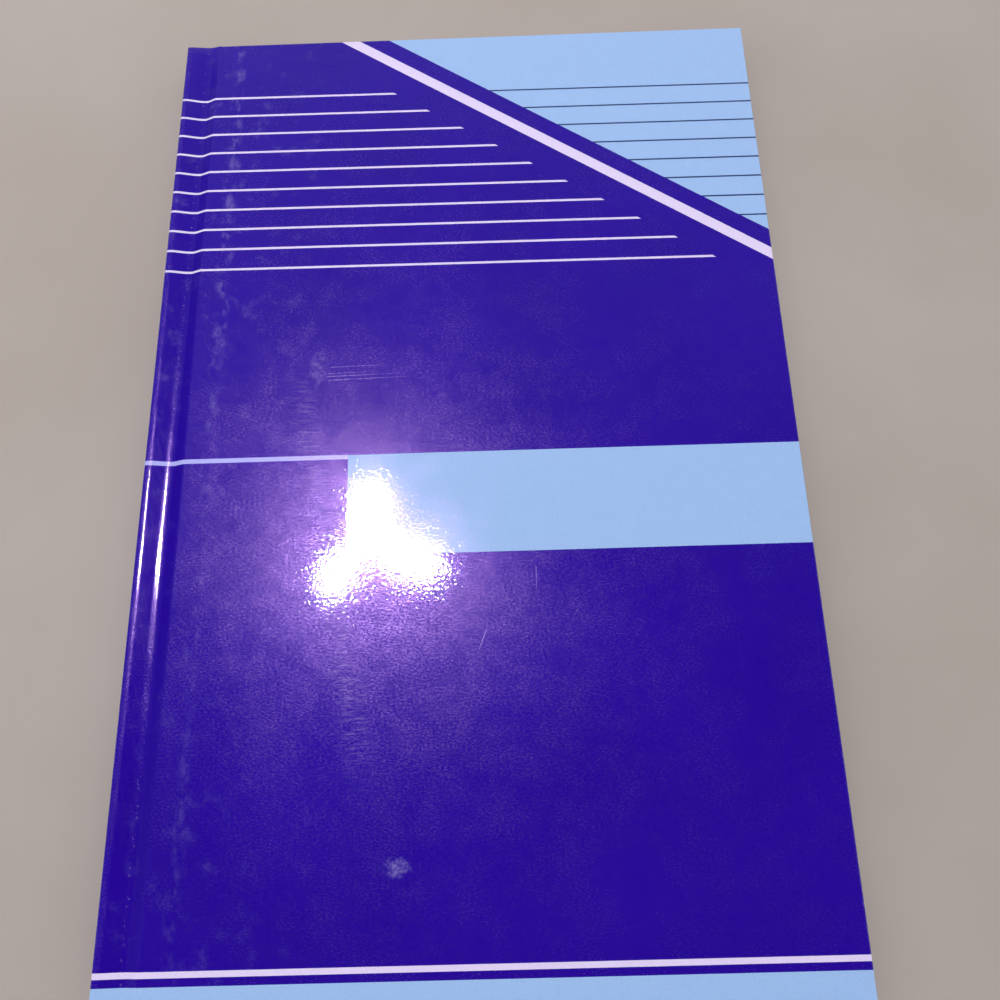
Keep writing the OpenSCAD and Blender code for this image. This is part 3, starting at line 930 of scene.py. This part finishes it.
def kraft_lining():
    """Brown lining paper with its laid streaks."""
    kit = Shader("lining")
    place = kit.object_place()
    streaks = kit.grain(kit.scaled(place, (1, 0.05, 1)), 1800, 4, 0.7)
    colour = kit.mix(kit.ramp(streaks, 0.3, 0.7), linear(176, 140, 98), linear(152, 117, 78))
    kit.set(Base_Color=colour, Roughness=0.85, Specular_IOR_Level=0.25, Normal=kit.bump(streaks, 0.03))
    return kit.material


def sewing_thread():
    """Twisted cotton thread."""
    kit = Shader("thread")
    place = kit.scaled(kit.object_place(), (1, 1, 1), 30)
    plies = kit.grain(kit.scaled(place, (0.2, 1, 1)), 6000, 2)
    colour = kit.mix(kit.ramp(plies, 0.35, 0.65), linear(238, 232, 214), linear(212, 203, 178))
    kit.set(Base_Color=colour, Roughness=0.8, Specular_IOR_Level=0.3, Normal=kit.bump(plies, 0.06))
    return kit.material


def stone_floor():
    """Pale warm floor, almost even."""
    kit = Shader("floor")
    place = kit.object_place()
    cloud = kit.ramp(kit.grain(place, 7, 4, 0.55), 0.3, 0.7)
    colour = kit.mix(cloud, linear(177, 167, 163), linear(170, 159, 153))
    kit.set(Base_Color=colour, Roughness=0.7, Specular_IOR_Level=0.2)
    kit.set(Normal=kit.bump(kit.grain(place, 400, 3), 0.02))
    return kit.material


# Stage

# The floor's half width in metres, and how far it lies under the book, so that no two faces coincide
FLOOR_HALF, FLOOR_DROP = 3.0, 0.05 * MM


def make_floor(material):
    """A plain square floor."""
    mesh = bpy.data.meshes.new("floor")
    around = ((-1, -1), (1, -1), (1, 1), (-1, 1))
    corners = [(x * FLOOR_HALF, y * FLOOR_HALF, -FLOOR_DROP) for x, y in around]
    mesh.from_pydata(corners, [], [(0, 1, 2, 3)])
    mesh.materials.append(material)
    floor = bpy.data.objects.new("floor", mesh)
    bpy.context.scene.collection.objects.link(floor)


def make_lamp(name, at, size, watts, target=None, turn=0.0, gloss=True):
    """A soft oval lamp that faces its target, or straight down with its long side turned by degrees."""
    data = bpy.data.lights.new(name, "AREA")
    data.shape = "ELLIPSE"
    data.size, data.size_y = size
    data.energy = watts
    lamp = bpy.data.objects.new(name, data)
    lamp.location = at
    lamp.visible_glossy = gloss
    if target is None:
        lamp.rotation_euler = (0, 0, math.radians(turn))
    else:
        lamp.rotation_mode = "QUATERNION"
        lamp.rotation_quaternion = (Vector(target) - Vector(at)).to_track_quat("-Z", "Y")
    bpy.context.scene.collection.objects.link(lamp)


# Lamps, in metres, watts and degrees. The arms are those of one lamp: place, size and turn
ARM_Z, ARM_WATTS = 1.1, 1.9
ARMS = (
    ("arm_head", (-0.192, 0.366), (0.088, 0.036), -86),
    ("arm_left", (-0.232, 0.284), (0.074, 0.038), -125),
    ("arm_right", (-0.132, 0.293), (0.096, 0.038), -18),
)
CEILING_AT, CEILING_SIZE, CEILING_WATTS = (-0.5, 0.0, 3.0), (6.0, 6.0), 66.0
PANEL_SIZE = (1.0, 1.0)
PANELS = (
    ("left_panel", (-1.5, -0.3, 0.9), 4.6),
    ("right_panel", (1.5, -0.4, 0.9), 2.6),
)


def make_lamps():
    """A three armed lamp, whose gloss lies on the cover, and wide soft light without gloss."""
    for name, (x, y), size, turn in ARMS:
        make_lamp(name, (x, y, ARM_Z), size, ARM_WATTS, turn=turn)
    make_lamp("ceiling", CEILING_AT, CEILING_SIZE, CEILING_WATTS, gloss=False)
    for name, at, watts in PANELS:
        make_lamp(name, at, PANEL_SIZE, watts, target=(0, 0, 0), gloss=False)


# How bright the room is at the sine of some heights: a pale band at the horizon, and a dim room over it
HORIZON = ((0.20, 0.5), (0.32, 0.0))
ROOM = ((0.30, 0.2), (0.62, 0.36), (0.80, 0.14), (0.96, 0.012))

# The room is dark on the spine's side: share of its light there, and how far to that side it dims
DARK_SIDE, DARK_FROM, DARK_TO = 0.1, -0.25, -0.85


def brightness_ramp(tree, height, levels):
    """Greys at some heights, even below the lowest and over the highest."""
    ramp = tree.nodes.new("ShaderNodeValToRGB")
    stops = ramp.color_ramp.elements
    while len(stops) < len(levels):
        stops.new(0.5)
    for stop, (position, bright) in zip(stops, levels):
        stop.position = position
        stop.color = (bright, bright, bright, 1)
    tree.links.new(height, ramp.inputs["Fac"])
    return ramp.outputs["Color"]


def make_world():
    """A pale horizon all round under a dim room, darker on the spine's side."""
    world = bpy.data.worlds.new("room")
    world.use_nodes = True
    tree = world.node_tree
    direction = tree.nodes.new("ShaderNodeTexCoord")
    parts = tree.nodes.new("ShaderNodeSeparateXYZ")
    tree.links.new(direction.outputs["Generated"], parts.inputs[0])
    side = tree.nodes.new("ShaderNodeMapRange")
    side.interpolation_type = "SMOOTHSTEP"
    for socket, number in zip(list(side.inputs)[1:], (DARK_TO, DARK_FROM, DARK_SIDE, 1.0)):
        socket.default_value = number
    tree.links.new(parts.outputs["X"], side.inputs[0])

    room = tree.nodes["Background"]
    tree.links.new(brightness_ramp(tree, parts.outputs["Z"], ROOM), room.inputs["Color"])
    tree.links.new(side.outputs[0], room.inputs["Strength"])
    horizon = tree.nodes.new("ShaderNodeBackground")
    tree.links.new(brightness_ramp(tree, parts.outputs["Z"], HORIZON), horizon.inputs["Color"])
    both = tree.nodes.new("ShaderNodeAddShader")
    tree.links.new(room.outputs[0], both.inputs[0])
    tree.links.new(horizon.outputs[0], both.inputs[1])
    tree.links.new(both.outputs[0], tree.nodes["World Output"].inputs["Surface"])
    bpy.context.scene.world = world


# The camera: place and lens in millimetres, the way it looks and its way up
CAMERA_AT = (11.19, -118.71, 286.42)
CAMERA_LOOK = (-0.0099, 0.3454, -0.9384)
CAMERA_UP = (0.0317, 0.9381, 0.3449)
LENS, SENSOR_W, CLIP_START = 36.0, 36.0, 10.0


def make_camera():
    """The photograph's own view, for a square picture."""
    at = Vector(CAMERA_AT) * MM
    look = Vector(CAMERA_LOOK).normalized()
    right = look.cross(Vector(CAMERA_UP)).normalized()
    up = right.cross(look)
    data = bpy.data.cameras.new("camera")
    data.sensor_width = SENSOR_W
    data.lens = LENS
    data.clip_start = CLIP_START * MM
    camera = bpy.data.objects.new("camera", data)
    turn = Matrix((right, up, -look)).transposed()
    camera.matrix_world = Matrix.Translation(at) @ turn.to_4x4()
    bpy.context.scene.collection.objects.link(camera)
    bpy.context.scene.camera = camera


def dress(node, material):
    """Gives a CAD node that keeps its shape a finished material."""
    slots = frame["nodes"][node].data.materials
    slots.clear()
    slots.append(material)


bpy.context.scene.view_settings.view_transform = "Standard"
make_camera()

print_finish = cover_print()
end_paper = endpaper()
for side, front in (("front", True), ("back", False)):
    cover_sheet(side, front, print_finish)
    joint_strip(side, front, print_finish)
    pastedown(side, front, end_paper)
    hinge_fold(side, front, end_paper)
    flyleaf(side, front, end_paper)
spine_wrap(print_finish)
leaf_pairs(leaf_paper())
folds = fold_paper()
for node in sorted(name for name in frame["nodes"] if name.startswith("section_")):
    section_fold(node, folds)

board_finish = greyboard()
for node in ("front_board", "back_board", "spine_board"):
    dress(node, board_finish)
dress("mull", woven_gauze())
dress("spine_lining", kraft_lining())
dress("sewing_thread", sewing_thread())

make_floor(stone_floor())
make_world()
make_lamps()
